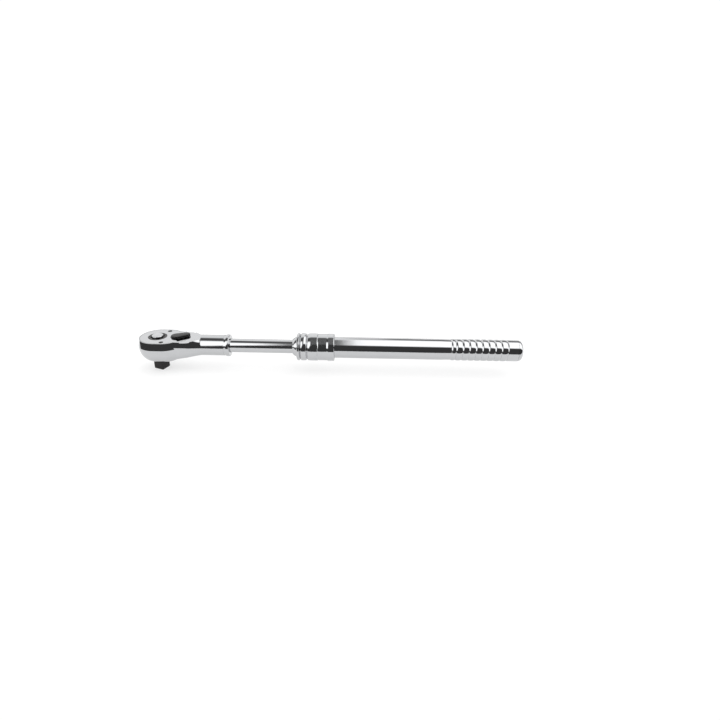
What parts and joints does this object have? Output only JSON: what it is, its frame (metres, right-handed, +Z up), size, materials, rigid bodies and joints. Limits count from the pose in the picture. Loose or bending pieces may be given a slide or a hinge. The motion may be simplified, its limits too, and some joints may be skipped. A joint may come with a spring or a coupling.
{
  "type": "extendable ratchet handle",
  "caption": "Chrome-plated reversible ratchet handle with square drive, quick-release button, reversing lever, telescoping rod, sliding lock sleeve and ribbed steel grip",
  "frame": {"origin": "centre of the drive square's end face", "axes": "+Z up from the square's end to the lever side of the head, +X along the handle away from the drive axis, +Y across, to the side the lever is thrown to at rest"},
  "size_m": [0.4455, 0.0452, 0.0462],
  "materials": {
    "chrome_plate": "bright polished chrome plate on steel",
    "black_oxide": "black-oxide hardened steel, satin",
    "ground_steel": "ground hardened steel",
    "spring_steel": "oiled spring steel"
  },
  "bodies": {
    "head": {"head_body": "chrome_plate", "cover_plate": "chrome_plate", "cover_screw_front": "black_oxide", "cover_screw_rear": "black_oxide", "bottom_washer": "ground_steel", "thrust_ring": "ground_steel", "rod_pin": "ground_steel", "inner_rod": "chrome_plate", "rod_stop_ring": "ground_steel", "rod_stop_clip": "spring_steel"},
    "drive": {"drive_gear": "black_oxide", "button_retaining_ring": "black_oxide", "button_spring": "spring_steel"},
    "button": {"release_button": "chrome_plate", "release_rod": "ground_steel"},
    "detent_ball": {"socket_detent_ball": "ground_steel"},
    "selector": {"selector_shaft": "ground_steel", "reverse_lever": "black_oxide", "lever_pin": "ground_steel"},
    "pawl": {"pawl": "ground_steel", "pawl_plunger": "ground_steel", "plunger_spring": "spring_steel"},
    "handle": {"outer_tube": "chrome_plate", "nose_guide": "chrome_plate", "guide_key": "ground_steel", "spring_stop_ring": "spring_steel", "sleeve_spring": "spring_steel", "end_plug": "chrome_plate"},
    "sleeve": {"lock_sleeve": "chrome_plate", "sleeve_end_ring": "chrome_plate"},
    "lock_ball": {"lock_ball": "ground_steel"}
  },
  "joints": [
    {"name": "drive_spin", "type": "hinge", "parent": "head", "child": "drive", "pos_m": [0, 0, 0.026], "axis": [0, 0, 1], "continuous": true},
    {"name": "button_press", "type": "slide", "parent": "drive", "child": "button", "axis": [0, 0, -1], "range_m": [0, 0.003], "stiffness_N_per_m": 600, "springref_m": -0.002, "deforming": ["button_spring"]},
    {"name": "ball_retract", "type": "slide", "parent": "drive", "child": "detent_ball", "axis": [0.9272, -0.3746, 0], "range_m": [0, 0.0012]},
    {"name": "lever_turn", "type": "hinge", "parent": "head", "child": "selector", "pos_m": [0.0216, 0, 0.039], "axis": [0, 0, 1], "range_deg": [-54, 0]},
    {"name": "pawl_rock", "type": "hinge", "parent": "head", "child": "pawl", "pos_m": [0.0216, 0, 0.026], "axis": [0, 0, 1], "range_deg": [-12, 0]},
    {"name": "telescope", "type": "slide", "parent": "head", "child": "handle", "axis": [1, 0, 0], "range_m": [-0.06, 0]},
    {"name": "sleeve_pull", "type": "slide", "parent": "handle", "child": "sleeve", "axis": [1, 0, 0], "range_m": [0, 0.006], "stiffness_N_per_m": 800, "springref_m": -0.003, "deforming": ["sleeve_spring"]},
    {"name": "lock_ball_lift", "type": "slide", "parent": "handle", "child": "lock_ball", "axis": [0, 0, -1], "range_m": [0, 0.0018]}
  ],
  "couplings": [
    {"joint": "ball_retract", "follows": "button_press", "ratio": 0.4},
    {"joint": "pawl_rock", "follows": "lever_turn", "ratio": 0.22222},
    {"joint": "lock_ball_lift", "follows": "sleeve_pull", "ratio": 0.3}
  ]
}
